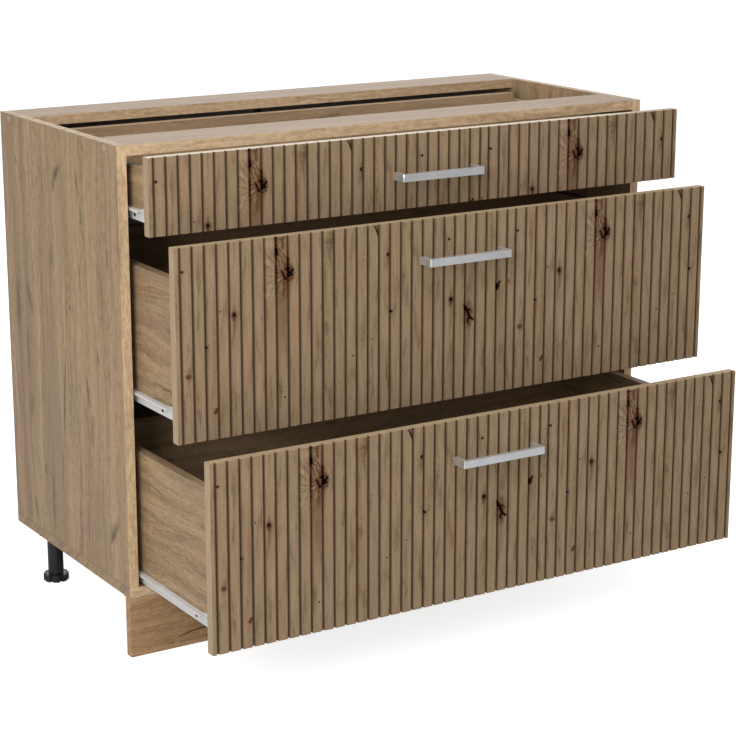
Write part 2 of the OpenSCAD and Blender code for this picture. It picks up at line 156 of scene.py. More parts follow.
class Wire:
    """One output of a material's nodes, with arithmetic on it."""

    __add__ = __radd__ = arithmetic("ADD")
    __sub__ = arithmetic("SUBTRACT")
    __rsub__ = arithmetic("SUBTRACT", turned=True)
    __mul__ = __rmul__ = arithmetic("MULTIPLY")
    __truediv__ = arithmetic("DIVIDE")
    __pow__ = arithmetic("POWER")
    __mod__ = arithmetic("FLOORED_MODULO")
    __abs__ = arithmetic("ABSOLUTE")
    floor = arithmetic("FLOOR")
    sine = arithmetic("SINE")
    least = arithmetic("MINIMUM")
    most = arithmetic("MAXIMUM")

    def __init__(self, bench: "NodeBench", socket: bpy.types.NodeSocket | None) -> None:
        """Keeps the socket and the bench that makes further nodes."""
        self.bench = bench
        self.socket = socket

    def wave(self) -> "Wire":
        """A sine between 0 and 1."""
        return self.sine() * 0.5 + 0.5

    def rise(self, low: Number, high: Number) -> "Wire":
        """A soft step.

        Args:
            low: Value at which the result is 0.
            high: Value at which the result is 1. It may lie below low, for a falling step.

        Returns:
            0 to 1.
        """
        ends = {1: low, 2: high} if high >= low else {1: high, 2: low, 3: 1.0, 4: 0.0}
        return self.bench.node("ShaderNodeMapRange", {"interpolation_type": "SMOOTHSTEP"}, {0: self, **ends})


class NodeBench:
    """The place where the nodes of one material or world are put together."""

    def __init__(self, owner: Material | bpy.types.World) -> None:
        """Empties the owner's nodes.

        Args:
            owner: The new material or world.
        """
        owner.use_nodes = True
        self.owner = owner
        self.tree = owner.node_tree
        self.tree.nodes.clear()

    def node(self, kind: str, settings: dict | None = None, sockets: dict | None = None, out: int = 0) -> Wire:
        """Adds one node.

        Args:
            kind: The node's type.
            settings: Its settings. The key stops fills a colour ramp.
            sockets: Values or wires of its inputs, by name or number.
            out: Number of the output that is wanted.

        Returns:
            That output, or an empty wire from a node that ends the tree.
        """
        made = self.tree.nodes.new(kind)
        for key, value in (settings or {}).items():
            if key == "stops":
                points = made.color_ramp.elements
                while len(points) < len(value):
                    points.new(0.5)
                for point, (position, colour) in zip(points, value):
                    point.position = position
                    point.color = colour
            else:
                setattr(made, key, value)
        for key, value in (sockets or {}).items():
            if isinstance(value, Wire):
                self.tree.links.new(value.socket, made.inputs[key])
            else:
                made.inputs[key].default_value = value
        return Wire(self, made.outputs[out] if len(made.outputs) else None)

    def vectors(self, operation: str, *values: "Wire | Triple | Number") -> Wire:
        """Adds one Vector Math node.

        Args:
            operation: What it does. SCALE takes the vector and then its factor.
            *values: Its inputs.

        Returns:
            A vector, or a number where the operation measures.
        """
        sockets = {0: values[0], 3: values[1]} if operation == "SCALE" else dict(enumerate(values))
        measures = operation in ("LENGTH", "DISTANCE", "DOT_PRODUCT")
        return self.node("ShaderNodeVectorMath", {"operation": operation}, sockets, int(measures))

    def place(self) -> tuple[Wire, Wire, Wire]:
        """Gives the point on the piece, in millimetres of the cabinet's frame.

        Returns:
            Its X, Y and Z.
        """
        point = self.vectors("SCALE", self.node("ShaderNodeTexCoord", out=3), MM)
        return tuple(self.node("ShaderNodeSeparateXYZ", {}, {0: point}, out=i) for i in range(3))

    def vector(self, x: Wire | Number, y: Wire | Number, z: Wire | Number = 0.0) -> Wire:
        """Puts three numbers together."""
        return self.node("ShaderNodeCombineXYZ", {}, {0: x, 1: y, 2: z})

    def noise(self, spot: Wire | tuple[Wire | Number, ...], detail: Number = 3.0, rough: Number = 0.5) -> Wire:
        """Adds cloudy noise of about unit size.

        Args:
            spot: Where it is read, as a vector or as its parts.
            detail: How many finer layers it has.
            rough: How strong the finer layers are.

        Returns:
            0 to 1, mostly near 0.5.
        """
        at = self.vector(*spot) if isinstance(spot, tuple) else spot
        values = {"Vector": at, "Scale": 1.0, "Detail": detail, "Roughness": rough}
        return self.node("ShaderNodeTexNoise", {}, values)

    def ramp(self, value: Wire, *stops: Stop) -> Wire:
        """Turns a number into a colour by stops."""
        points = [(place, tone(*colour)) for place, *colour in stops]
        return self.node("ShaderNodeValToRGB", {"stops": points}, {0: value})

    def blend(self, share: Wire | Number, low: Wire | Colour, high: Wire | Colour) -> Wire:
        """Mixes two colours, with the given share of the second."""
        settings = {"data_type": "RGBA", "clamp_factor": True}
        return self.node("ShaderNodeMix", settings, {0: share, 6: low, 7: high}, out=2)

    def finish(
        self,
        colour: Wire | Colour,
        roughness: Wire | Number,
        height: Wire | None = None,
        relief: Number = 0.0,
        **constants: Wire | Number,
    ) -> Material:
        """Ends the material with its shader.

        Args:
            colour: Base colour.
            roughness: Roughness of the surface.
            height: Height map of its relief, 0 to 1.
            relief: Real height of the relief in millimetres.
            **constants: Further sockets of the shader, with underscores for spaces.

        Returns:
            The finished material.
        """
        values: dict = {"Base Color": colour, "Roughness": roughness}
        values.update({key.replace("_", " "): value for key, value in constants.items()})
        if height is not None:
            relief_values = {"Strength": 1.0, "Distance": relief / MM, "Height": height}
            values["Normal"] = self.node("ShaderNodeBump", {}, relief_values)
        self.node("ShaderNodeOutputMaterial", {}, {0: self.node("ShaderNodeBsdfPrincipled", {}, values)})
        return self.owner


class Paint:
    """A colour that is laid on in layers."""

    def __init__(self, bench: NodeBench, colour: Wire | Colour) -> None:
        """Keeps the bench and the ground colour."""
        self.bench = bench
        self.colour = colour

    def lay(self, share: Wire | Number, layer: Wire | Triple) -> None:
        """Lays a layer over the colour.

        Args:
            share: How much of the layer covers, 0 to 1.
            layer: Its colour, as a wire or as red, green and blue on a screen.
        """
        over = layer if isinstance(layer, Wire) else tone(*layer)
        self.colour = self.bench.blend(share, self.colour, over)


class Sheet(Paint):
    """The printed sheet of one front, in millimetres from the left and from the top."""

    def __init__(self, bench: NodeBench, across: Wire, down: Wire) -> None:
        """Finds the spot, and the noise that makes edges uneven.

        Args:
            bench: Where the nodes go.
            across: Place along the sheet.
            down: Place below its top edge.
        """
        super().__init__(bench, tone(146, 124, 97))
        self.across = across
        self.down = down
        self.spot = bench.vector(across, down)
        self.jag = bench.noise((across * 0.33, down * 0.33, 4.0), 3.0, 0.7) - 0.5


@dataclass(frozen=True)
class Knot:
    """A knot of the oak print, in millimetres of the printed sheet."""

    across: float
    down: float
    wide: float
    tall: float
    kind: KnotKind
    streak: float = 0.0

    def detour(self, sheet: Sheet) -> Wire:
        """Leads the grain round the knot.

        Args:
            sheet: The print.

        Returns:
            How far the grain moves sideways.
        """
        aside = sheet.across - self.across
        reach = sheet.bench.vector(aside / (self.wide * 3.0), (sheet.down - self.down) / (self.tall * 3.6))
        return aside * sheet.bench.vectors("LENGTH", reach).rise(1.0, 0.0) * -0.82

    def lay(self, sheet: Sheet) -> Wire:
        """Lays the knot on the print.

        Args:
            sheet: The print.

        Returns:
            The mask of its dark core.
        """
        bench, jag = sheet.bench, sheet.jag
        offset = bench.vectors("SUBTRACT", sheet.spot, (self.across, self.down, 0.0))
        sized = bench.vectors("MULTIPLY", offset, (1 / self.wide, 1 / self.tall, 0.0))
        far = bench.vectors("LENGTH", sized)
        if self.streak:
            drawn = bench.vectors("LENGTH", bench.vectors("MULTIPLY", sized, (0.7, 0.16, 0.0)))
            sheet.lay((drawn + jag * 0.5).rise(1.0, 0.2) * self.streak, (98, 62, 40))
        if self.kind is PIN:
            core = (far + jag * 0.6).rise(1.25, 0.75)
            sheet.lay(core * 0.95, (30, 14, 8))
            return core
        if self.kind is SOFT:
            veil = (far + jag * 1.4).rise(1.0, 0.0)
            sheet.lay(veil * 0.45, (100, 72, 50))
            rings = (far * 7.0 + jag * 6.0).wave() * veil
            sheet.lay(rings * 0.3, (82, 58, 40))
            return veil * 0.2
        swirl = (far * 5.2 + jag * 5.0).wave() * (far + jag).rise(2.6, 1.0)
        sheet.lay(swirl * 0.36, (86, 60, 40))
        rim = (far + jag * 1.7).rise(1.6, 1.0)
        if self.kind is CRACKED:
            sheet.lay(rim * 0.55, (90, 54, 33))
            return rim * 0.2
        sheet.lay(rim * 0.75, (88, 48, 28))
        core = (far + jag * 1.5).rise(1.1, 0.75)
        sheet.lay(core, (24, 10, 4))
        return core


@dataclass(frozen=True)
class Cleft:
    """A crack or stain of the oak print, from one point to another, in millimetres of the printed sheet."""

    across: float
    down: float
    to_across: float
    to_down: float
    wide: float

    def distance(self, sheet: Sheet) -> Wire:
        """Measures how far the spot is from the crack.

        Args:
            sheet: The print.

        Returns:
            The distance in half widths of the crack.
        """
        bench = sheet.bench
        run = (self.to_across - self.across, self.to_down - self.down)
        square = run[0] ** 2 + run[1] ** 2
        offset = bench.vectors("SUBTRACT", sheet.spot, (self.across, self.down, 0.0))
        share = bench.vectors("DOT_PRODUCT", offset, (run[0] / square, run[1] / square, 0.0))
        foot = bench.vectors("SCALE", (*run, 0.0), share.most(0.0).least(1.0))
        return bench.vectors("DISTANCE", offset, foot) / (self.wide / 2)


@dataclass(frozen=True)
class GroovedOak:
    """Knotty oak print on a front with milled grooves. The same print lies on every front."""

    pitch: float = 20.05
    groove: float = 4.0
    groove_depth: float = 4.5
    first: float = 9.0
    slats: int = 30
    short: float = 3.35
    length: float = 996.0
    rear: float = 15.7
    spine: float = 170.0
    spine_slat: float = 179.5
    spine_groove: float = 189.5
    fan_down: float = 62.0
    small_knot: float = 3.3
    slat_tones: tuple[Stop, ...] = (
        (0.0, 141, 115, 89), (0.22, 146, 124, 97), (0.4, 142, 122, 94), (0.52, 149, 124, 99),
        (0.66, 142, 122, 95), (0.82, 146, 122, 97), (1.0, 134, 109, 83),
    )
    knots: tuple[Knot, ...] = tuple(Knot(*row) for row in (
        (190, 58, 8, 9.5, CRACKED, 0.5), (98, 110, 3.4, 4.1, SOUND, 0.6),
        (14, 36, 2.2, 2.5, PIN), (21, 194, 3.2, 3, CRACKED, 0.35),
        (64.5, 253, 6.5, 8, SOFT), (67, 250.7, 2.8, 2.8, PIN),
        (64.1, 254.8, 2.1, 2.3, PIN), (183, 248, 1.7, 1.7, PIN),
        (190, 243, 1.3, 2.2, PIN), (256, 147, 8, 17, SOFT, 0.2),
        (262, 16, 9, 8, SOFT), (367.2, 48, 3.4, 3.2, PIN, 0.5),
        (374, 138.5, 2.5, 2.5, PIN, 0.2), (340, 178, 1.4, 1.4, PIN),
        (484.4, 133, 3.5, 4.4, SOUND, 0.6), (518, 161, 6, 15, CRACKED, 0.35),
        (576, 120, 5, 9, SOFT, 0.4), (480, 36, 2.4, 2.6, PIN),
        (530.6, 244.3, 1.6, 1.8, PIN), (52, 154, 1.6, 1.8, PIN),
        (75, 102, 1.3, 1.3, PIN),
    ))
    clefts: tuple[Cleft, ...] = tuple(Cleft(*row) for row in (
        (180, 53.5, 182.2, 58.5, 2.8), (182.2, 58.5, 184.6, 63.5, 3), (184.8, 64.6, 188.8, 65, 4.2),
        (188.6, 64.6, 191.6, 61.4, 4.6), (191.6, 60.6, 195, 57.8, 7.2), (195.2, 57.4, 197.9, 53.2, 4.4),
        (196, 57.5, 198, 61, 2.6), (187, 50.6, 191.4, 49.4, 4.6), (190.6, 49, 191.4, 57, 5.2),
        (190.2, 35, 190.6, 50, 4.4), (191.6, 69.5, 198.5, 65.5, 0.9), (170.6, 18.5, 170.8, 27.5, 5),
        (509.2, 144.2, 512.1, 149.2, 2.9), (512.1, 149.2, 515.6, 154.6, 5.6), (515.6, 154.6, 518.4, 161, 5.6),
        (518.4, 161, 520.4, 165.6, 4.8), (520.4, 165.6, 526.4, 170.4, 3.7), (520, 165.8, 517.4, 169, 4.4),
        (517.4, 169, 517, 173, 3.9), (516.5, 153.8, 521, 153.2, 3), (578, 115.2, 575.2, 119.5, 3.4),
        (575.2, 119.5, 573.4, 125.5, 4.6), (341.5, -1, 345.6, 7, 1.9), (345.6, 7, 350.6, 19, 2.2),
    ))
    stains: tuple[Cleft, ...] = tuple(Cleft(*row) for row in (
        (181, 5, 181.4, 17.5, 5.4), (176, 18, 177.5, 24, 2.6), (181.5, 26, 185.5, 34, 2.6),
        (174, 34, 176.5, 46, 2.4), (182, 0.5, 181.6, 2, 2.6), (171, 19, 174, 25, 4),
        (174.5, 27, 180, 31.4, 2.8), (179.6, 34, 180.4, 40, 2.8), (186.4, 44, 189.6, 50, 7.4),
        (179.5, 52.6, 184.5, 63.5, 5.4), (195.4, 48, 197.8, 53, 5.4), (183.6, 66.5, 182.6, 73, 4.4),
        (181, 67, 176, 69.5, 2.6), (198.8, 65, 199.2, 66, 2.6), (521, 153.2, 524.6, 157.4, 5),
        (518.4, 174.6, 520.2, 178.8, 4.4), (518.1, 141.5, 518.7, 145.8, 2.4), (347.5, 0, 350, 13, 5),
        (98, 113.5, 97.8, 117, 4.6), (484, 137, 483.2, 142, 4.4), (18, 193.6, 19.2, 195.2, 5),
        (20.6, 191.8, 24.2, 193, 2.6), (24.2, 193.2, 23.8, 196.4, 2.8), (20.4, 196.4, 23.8, 196.6, 2),
        (67, 250.7, 64.1, 254.8, 5.4), (303, 199, 305.6, 200.4, 2.6), (595.6, 114, 595.9, 119, 3),
    ))

    def material(self, name: str, left: float, top: float, face: float) -> Material:
        """Makes the print for one front.

        Args:
            name: The material's name.
            left: X of the front's left end, in mm.
            top: Z of its top edge.
            face: Y of its front face.

        Returns:
            The material.
        """
        bench = NodeBench(bpy.data.materials.new(name))
        x, y, z = bench.place()
        across = (x - (left + self.first - self.pitch / 2)) % (self.pitch * self.slats - self.short)
        down = top - z
        sheet = Sheet(bench, across, down)
        slat = ((across / self.pitch - 0.5).floor() + self.slats) % self.slats
        chance = bench.node("ShaderNodeTexWhiteNoise", {"noise_dimensions": "1D"}, {"W": slat * 1.37 + 3.1})
        bend = (bench.noise((across * 0.016, down * 0.006, 7.0), 2.0) - 0.5) * 26.0
        for knot in self.knots:
            if knot.wide > self.small_knot:
                bend = bend + knot.detour(sheet)
        grain = across + bend
        broad = bench.noise((grain * 0.05, down * 0.0034, 1.0), 3.0, 0.55)
        patch = bench.noise((grain * 0.085, down * 0.014, 5.0), 3.0, 0.6)
        fibre = bench.noise((grain * 0.46, down * 0.011, 2.0), 5.0, 0.66)
        pores = bench.noise((grain * 1.9, down * 0.11, 3.0), 2.0)
        mottle = bench.noise((grain * 0.3, down * 0.24, 8.0), 3.0, 0.6)
        rings = (grain * 0.42 + broad * 9.0).wave() ** 3.0
        shade = (fibre - 0.5) * 1.25 + (patch - 0.5) * 0.8 + (pores - 0.5) * 0.8
        shade = shade + (mottle - 0.5) * 0.5 + rings * 0.1
        sheet.colour = bench.ramp(chance * 0.6 + broad * 0.9 - 0.24, *self.slat_tones)
        sheet.lay(patch.rise(0.53, 0.7) * 0.45, (114, 80, 56))
        sheet.lay(shade.rise(0.0, 0.55) * 0.8, (78, 57, 39))
        sheet.lay(shade.rise(0.0, -0.55) * 0.7, (174, 152, 120))
        off = abs(across % self.pitch - self.pitch / 2)
        inside = off.rise(self.groove / 2 + 0.12, self.groove / 2 + 0.04)
        milled = inside * (y - (face + 0.15)).rise(0.0, 0.5) * (face + self.groove_depth + 0.3 - y).rise(0.0, 0.1)
        fore = (face + 3.0 - y).rise(0.0, 0.5)
        # Painted shade: a soft dark band on the front face along both sides of every groove.
        sheet.lay(off.rise(3.8, 2.0) * 0.5 * (1.0 - milled) * fore, (84, 68, 52))
        # The groove walls get a darker brown, partly the milled core's own colour and partly painted shade.
        sheet.lay(milled * 0.9, (112, 93, 74))
        self._feather(sheet)
        dark = reduce(Wire.most, [knot.lay(sheet) for knot in self.knots])
        sheet.lay(self._nearest(sheet, self.stains).rise(1.5, 0.5) * 0.8, (88, 55, 32))
        near = self._nearest(sheet, self.clefts)
        sheet.lay(near.rise(2.3, 1.0) * 0.6, (84, 50, 31))
        split = near.rise(1.15, 0.75)
        sheet.lay(split, (12, 6, 3))
        dark = dark.most(split)
        plain = bench.ramp(shade + 0.5, (0.1, 172, 148, 117), (0.5, 148, 123, 94), (0.9, 116, 92, 67))
        sheet.lay((y - (face + self.rear)).rise(0.0, 0.1), plain)
        rims = [place.rise(0.35, 0.2) for place in (down, x - left, left + self.length - x)]
        ends = reduce(Wire.most, rims)
        edge = bench.noise((x * 0.02, y * 0.5, z * 0.02))
        sheet.lay(ends, bench.ramp(edge, (0.3, 148, 127, 100), (0.7, 166, 145, 116)))
        height = (1.0 - fibre.rise(0.3, 0.7) * 0.5 - pores.rise(0.5, 0.75) * 0.3) * (1.0 - dark * 0.6)
        shell = {"Specular_IOR_Level": 0.05, "Coat_Weight": ends * 0.4, "Coat_Roughness": 0.22}
        return bench.finish(sheet.colour, 0.54 - fibre * 0.12 + dark * 0.3, height, 0.05, **shell)

    def _feather(self, sheet: Sheet) -> None:
        """Lays on the dark spine beside the big knot, with the grain that fans out from it.

        Args:
            sheet: The print.
        """
        bench, across, down, jag = sheet.bench, sheet.across, sheet.down, sheet.jag
        side = abs(across - self.spine + jag * 3)
        right = (across - self.spine).rise(-1.0, 1.0)
        offset = bench.vector(across - (self.spine + 2 + right * 16), down - (self.fan_down - right * 5))
        far = bench.vectors("LENGTH", offset)
        wheel = bench.vectors("SCALE", bench.vectors("NORMALIZE", offset), 4.6)
        lift = bench.vector(far * 0.02, jag * 0.7, far * 0.05 + right * 3)
        ray = bench.noise(bench.vectors("ADD", wheel, lift), 4.0, 0.75)
        reach = side.rise(24.0, 12.0) * down.rise(112.0, 80.0) * far.rise(3.0, 8.0)
        reach = reach * (across - self.spine_groove).rise(3.0, 0.0)
        veil = abs(across - self.spine_slat).rise(9.5, 8.0) * down.rise(230.0, 110.0)
        sheet.lay(veil * (down.rise(30.0, 75.0) * 0.2 + 0.38), (108, 75, 50))
        sheet.lay(ray.rise(0.5, 0.58) * reach * (right * 0.35 + 0.5), (82, 54, 35))
        sheet.lay(ray.rise(0.47, 0.38) * reach * 0.4, (176, 150, 120))
        blotch = bench.noise((down * 0.085, 9.0), 3.0, 0.7).rise(0.36, 0.62)
        near = side / (blotch * 1.7 + 1.2)
        worn = down.rise(96.0, 60.0) * (1.0 - abs(down - 40.0).rise(9.0, 4.0) * 0.6)
        sheet.lay(near.rise(1.5, 0.8) * worn * 0.85, (30, 20, 14))

    def _nearest(self, sheet: Sheet, clefts: tuple[Cleft, ...]) -> Wire:
        """Gives the distance to the nearest of some cracks, with an uneven edge."""
        return reduce(Wire.least, [cleft.distance(sheet) for cleft in clefts]) + sheet.jag * 1.2


@dataclass(frozen=True)
class Brushmark:
    """A dark brushed spot or line of the board print: where, how large, how slanted and how strong."""

    across: float
    along: float
    wide: float
    long: float
    slant: float = 0.0
    strength: float = 0.5
    tint: Triple = (92, 79, 60)


@dataclass(frozen=True)
class BoardOak:
    """Greyish oak print on plain boards."""

    grain: Axis
    seed: float = 0.0
    marks: tuple[Brushmark, ...] = ()
    warm: float = 0.0
    wild: float = 1.0
    raw_top: float | None = None
    painted_top_shade: float | None = None
    light_front: float | None = None
    lip: float = 0.95
    fibres: float = 1.0
    depth: float = 0.46
    painted_seam_shadow: float | None = None

    def material(self, name: str) -> Material:
        """Makes the print.

        Args:
            name: The material's name.

        Returns:
            The material.
        """
        bench = NodeBench(bpy.data.materials.new(name))
        x, y, z = bench.place()
        along, across, deep = {Axis.X: (x, z, y), Axis.Y: (y, z, x), Axis.Z: (z, y, x)}[self.grain]
        s = self.seed
        bend = (bench.noise((along * 0.0042, across * 0.011, deep * 0.011 + s), 2.0) - 0.5) * (46.0 * self.wild)
        bend = bend + (bench.noise((along * 0.034, across * 0.05, deep * 0.05 + s), 2.0) - 0.5) * 9.0
        line = across + deep + bend
        spread = across - deep + bend
        broad = bench.noise((along * 0.0016, line * 0.021, spread * 0.004 + s + 3))
        hue = bench.noise((along * 0.0013, line * 0.014, spread * 0.004 + s + 23), 2.0)
        bands = bench.noise((along * 0.0023, line * 0.06, spread * 0.01 + s + 11), 4.0, 0.62)
        fibre = bench.noise((along * 0.012, line * 0.42, spread * 0.05 + s + 5), 5.0, 0.66)
        pores = bench.noise((along * 0.055, line * 1.9, spread * 0.3 + s + 8), 2.0)
        sawn = bench.noise((along * 0.62 + line * 0.14, line * 0.05, s), 2.0)
        brush = bench.noise((along * 0.0095, line * 0.12, spread * 0.05 + s + 17), 4.0, 0.7)
        mottle = bench.noise((along * 0.07, line * 0.13, spread * 0.1 + s), 4.0, 0.72)
        shade = (bands - 0.5) * 1.1 + (mottle - 0.5) * 0.8 - (sawn - 0.5) * 0.3 + brush.rise(0.56, 0.75) * 0.4
        shade = shade + ((fibre - 0.5) * 0.55 + (pores - 0.5) * 0.4) * self.fibres + self.depth
        paint = Paint(bench, bench.ramp(shade, (0.05, 174, 150, 118), (0.5, 145, 123, 93), (1.0, 94, 79, 57)))
        warmer = bench.ramp(shade, (0.05, 177, 149, 118), (0.5, 147, 121, 94), (1.0, 98, 77, 57))
        paint.lay(broad.rise(0.4, 0.6), warmer)
        paint.lay(hue.rise(0.5, 0.66) * 0.5, (132, 110, 90))
        tan = bench.ramp(shade, (0.05, 196, 162, 122), (0.5, 164, 128, 90), (1.0, 108, 78, 52))
        paint.lay(self.warm, tan)
        rough = bench.noise((across * 0.16, along * 0.07, s + 2), 4.0, 0.75) - 0.5
        for mark in self.marks:
            ahead = along - mark.along
            beside = across - mark.across - ahead * mark.slant
            far = bench.vectors("LENGTH", bench.vector(beside / mark.wide, ahead / mark.long))
            paint.lay((far + rough * 1.4).rise(1.0, 0.25) * min(1.0, mark.strength * 1.35), mark.tint)
        # Painted shade: the top faces, in their top 0.3 mm, are blended half way towards a darker brown.
        if self.painted_top_shade is not None:
            paint.lay((z - self.painted_top_shade).rise(-0.3, -0.1) * 0.5, (110, 91, 72))
        # Painted contact shadow: a dark line along the panel's bottom edge.
        if self.painted_seam_shadow is not None:
            paint.lay(abs(z - self.painted_seam_shadow).rise(1.6, 0.4) * 0.75, (84, 68, 50))
        if self.light_front is not None:
            scale = bench.ramp(shade + (mottle - 0.5) * 0.8, (0.2, 216, 188, 152), (0.8, 176, 146, 112))
            paint.lay((y - self.light_front).rise(0.5, 0.35) * self.lip, scale)
            paint.lay(abs(y - self.light_front - 0.8).rise(0.16, 0.08) * 0.5, (96, 76, 58))
        if self.raw_top is not None:
            paint.lay((z - self.raw_top).rise(-0.4, -0.25), self._chips(bench, x, y, z))
        height = 1.0 - fibre.rise(0.4, 0.75) * 0.5 - pores.rise(0.5, 0.8) * 0.3 + sawn * 0.2
        return bench.finish(paint.colour, 0.46 + fibre * 0.1, height, 0.035, Specular_IOR_Level=0.3)

    def _chips(self, bench: NodeBench, *place: Wire) -> Wire:
        """Gives the colour of raw chipboard, as its edges show it.

        Args:
            bench: Where the nodes go.
            *place: X, Y and Z in mm.

        Returns:
            The colour.
        """
        spot = bench.vector(*(part * 0.34 for part in place))
        cell = bench.node("ShaderNodeTexVoronoi", {}, {"Vector": spot, "Scale": 1.0, "Randomness": 1.0}, out=1)
        grey = bench.node("ShaderNodeSeparateColor", {}, {0: cell})
        return bench.ramp(grey, (0.0, 96, 74, 52), (0.3, 142, 117, 90), (0.7, 162, 138, 108), (1.0, 182, 158, 128))


@dataclass(frozen=True)
class PlainFinish:
    """A moulded, painted or bare metal surface with a fine relief."""

    colour: Triple
    dark: Triple
    roughness: float
    grit: float
    relief: float
    metallic: float = 0.0
    brushed: Axis | None = None
    gloss: float = 0.5

    def material(self, name: str) -> Material:
        """Makes the surface.

        Args:
            name: The material's name.

        Returns:
            The material.
        """
        bench = NodeBench(bpy.data.materials.new(name))
        x, y, z = bench.place()
        pull = [self.grit] * 3
        if self.brushed is not None:
            pull[self.brushed.value] = self.grit * 0.03
        fine = bench.noise((x * pull[0], y * pull[1], z * pull[2]), 3.0, 0.6)
        cloud = bench.noise((x * 0.03, y * 0.03, z * 0.03), 2.0)
        paint = Paint(bench, tone(*self.colour))
        paint.lay((fine * 0.6 + cloud * 0.4).rise(0.35, 0.7), self.dark)
        rough = self.roughness + (fine - 0.5) * 0.16
        shell = {"Metallic": self.metallic, "Specular_IOR_Level": self.gloss}
        return bench.finish(paint.colour, rough, fine, self.relief, **shell)


class Finishes:
    """Every finish that more than one sub-assembly uses, made once."""

    def __init__(self) -> None:
        """Makes the shared materials."""
        steel = PlainFinish((200, 199, 198), (188, 187, 186), 0.36, 1.6, 0.01)
        self.white_steel = steel.material("white_powder_coat")
        self.zinc = PlainFinish((186, 188, 190), (150, 153, 156), 0.34, 1.2, 0.01, 1.0).material("zinc_plate")
        satin = PlainFinish((222, 222, 224), (200, 201, 204), 0.36, 3.0, 0.006, 0.8, Axis.X)
        self.satin = satin.material("satin_metal")
        self.nylon = PlainFinish((232, 230, 222), (214, 210, 200), 0.38, 0.8, 0.01).material("white_nylon")
        self.black = PlainFinish((26, 26, 25), (16, 16, 15), 0.42, 2.2, 0.02).material("black_moulding")
        # Painted shade: a near-black, glossless finish for the discs that stand for the shadow in open holes.
        self.shadow = PlainFinish((9, 7, 6), (5, 4, 3), 0.9, 1.2, 0.01, gloss=0.0).material("painted_hole_shadow")
        self.brown = PlainFinish((62, 50, 41), (50, 40, 33), 0.4, 1.2, 0.01).material("brown_strip")
        self.cap = PlainFinish((168, 144, 116), (156, 132, 104), 0.42, 1.2, 0.01).material("cover_cap")
        self.beech = PlainFinish((204, 168, 122), (182, 144, 98), 0.6, 1.4, 0.03, 0.0, Axis.X).material("raw_beech")
        self.hardboard = PlainFinish((124, 124, 118), (104, 105, 100), 0.5, 0.9, 0.03).material("grey_hardboard")


def deselect() -> None:
    """Takes everything out of the selection."""
    if bpy.context.object is not None and bpy.context.object.mode != "OBJECT":
        bpy.ops.object.mode_set(mode="OBJECT")
    bpy.ops.object.select_all(action="DESELECT")


def pick(piece: Piece) -> None:
    """Selects only this piece and makes it active.

    Args:
        piece: The piece.
    """
    deselect()
    piece.select_set(True)
    bpy.context.view_layer.objects.active = piece


def rod(radius: float, length: float, corners: int = 20) -> Piece:
    """Adds a round blank that stands on the origin along +Z.

    Args:
        radius: Its radius in metres.
        length: Its length.
        corners: How many sides it has.

    Returns:
        The blank.
    """
    deselect()
    middle = (0, 0, length / 2)
    bpy.ops.mesh.primitive_cylinder_add(vertices=corners, radius=radius, depth=length, location=middle)
    bpy.ops.object.transform_apply()
    return bpy.context.object


def pick_faces(piece: Piece, test: Callable[[Vector, Vector], bool]) -> None:
    """Goes into edit mode with just some faces selected.

    Args:
        piece: The piece.
        test: Says from a face's middle and normal whether it is wanted.
    """
    pick(piece)
    bpy.ops.object.mode_set(mode="EDIT")
    bpy.ops.mesh.select_mode(type="FACE")
    bpy.ops.mesh.select_all(action="DESELECT")
    mesh = bmesh.from_edit_mesh(piece.data)
    for face in mesh.faces:
        face.select_set(test(face.calc_center_median(), face.normal))
    bmesh.update_edit_mesh(piece.data)


def carve(piece: Piece, tool: Piece) -> None:
    """Takes the tool's shape out of the piece and removes the tool.

    Args:
        piece: The piece.
        tool: What is cut away.
    """
    pick(piece)
    cut = piece.modifiers.new("cut", "BOOLEAN")
    cut.operation = "DIFFERENCE"
    cut.object = tool
    cut.solver = "EXACT"
    bpy.ops.object.modifier_apply(modifier=cut.name)
    bpy.data.objects.remove(tool)


def dish(piece: Piece, rim: float, lift: float) -> None:
    """Insets the top face and moves its middle.

    Args:
        piece: The piece.
        rim: Width of the rim that stays, in metres.
        lift: How far the middle rises, or sinks where it is negative.
    """
    pick_faces(piece, lambda middle, normal: normal.z > LEVEL)
    bpy.ops.mesh.inset(thickness=rim)
    bpy.ops.transform.translate(value=(0, 0, lift))
    bpy.ops.object.mode_set(mode="OBJECT")


def smooth(piece: Piece, angle: float) -> None:
    """Shades a piece smoothly where it bends by less than an angle in degrees."""
    pick(piece)
    bpy.ops.object.shade_smooth_by_angle(angle=math.radians(angle))


def soften(node: Piece, width: float) -> None:
    """Eases the sharp edges of a solid that is made of loose triangles.

    Args:
        node: The solid.
        width: Width of the eased edge in metres.
    """
    weld = node.modifiers.new("weld", "WELD")
    weld.merge_threshold = 1e-5
    flat = node.modifiers.new("flat", "DECIMATE")
    flat.decimate_type = "DISSOLVE"
    flat.angle_limit = math.radians(1)
    ease = node.modifiers.new("ease", "BEVEL")
    ease.width = width
    ease.segments = 2
    ease.limit_method = "ANGLE"
    ease.angle_limit = math.radians(SHARP_ANGLE)


def rounded_copy(node: str, name: str) -> Piece:
    """Copies a turned solid so that its round faces shade smoothly.

    Args:
        node: Name of the solid's node.
        name: The copy's name.

    Returns:
        The copy.
    """
    solid = frame["nodes"][node]
    piece = solid.copy()
    piece.data = solid.data.copy()
    piece.name = name
    piece.parent = None
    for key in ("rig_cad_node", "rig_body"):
        if key in piece:
            del piece[key]
    bpy.context.scene.collection.objects.link(piece)
    pick(piece)
    bpy.ops.object.mode_set(mode="EDIT")
    bpy.ops.mesh.select_all(action="SELECT")
    bpy.ops.mesh.remove_doubles(threshold=1e-6)
    bpy.ops.mesh.dissolve_limited(angle_limit=math.radians(0.5))
    bpy.ops.object.mode_set(mode="OBJECT")
    smooth(piece, ROUND_ANGLE)
    return piece


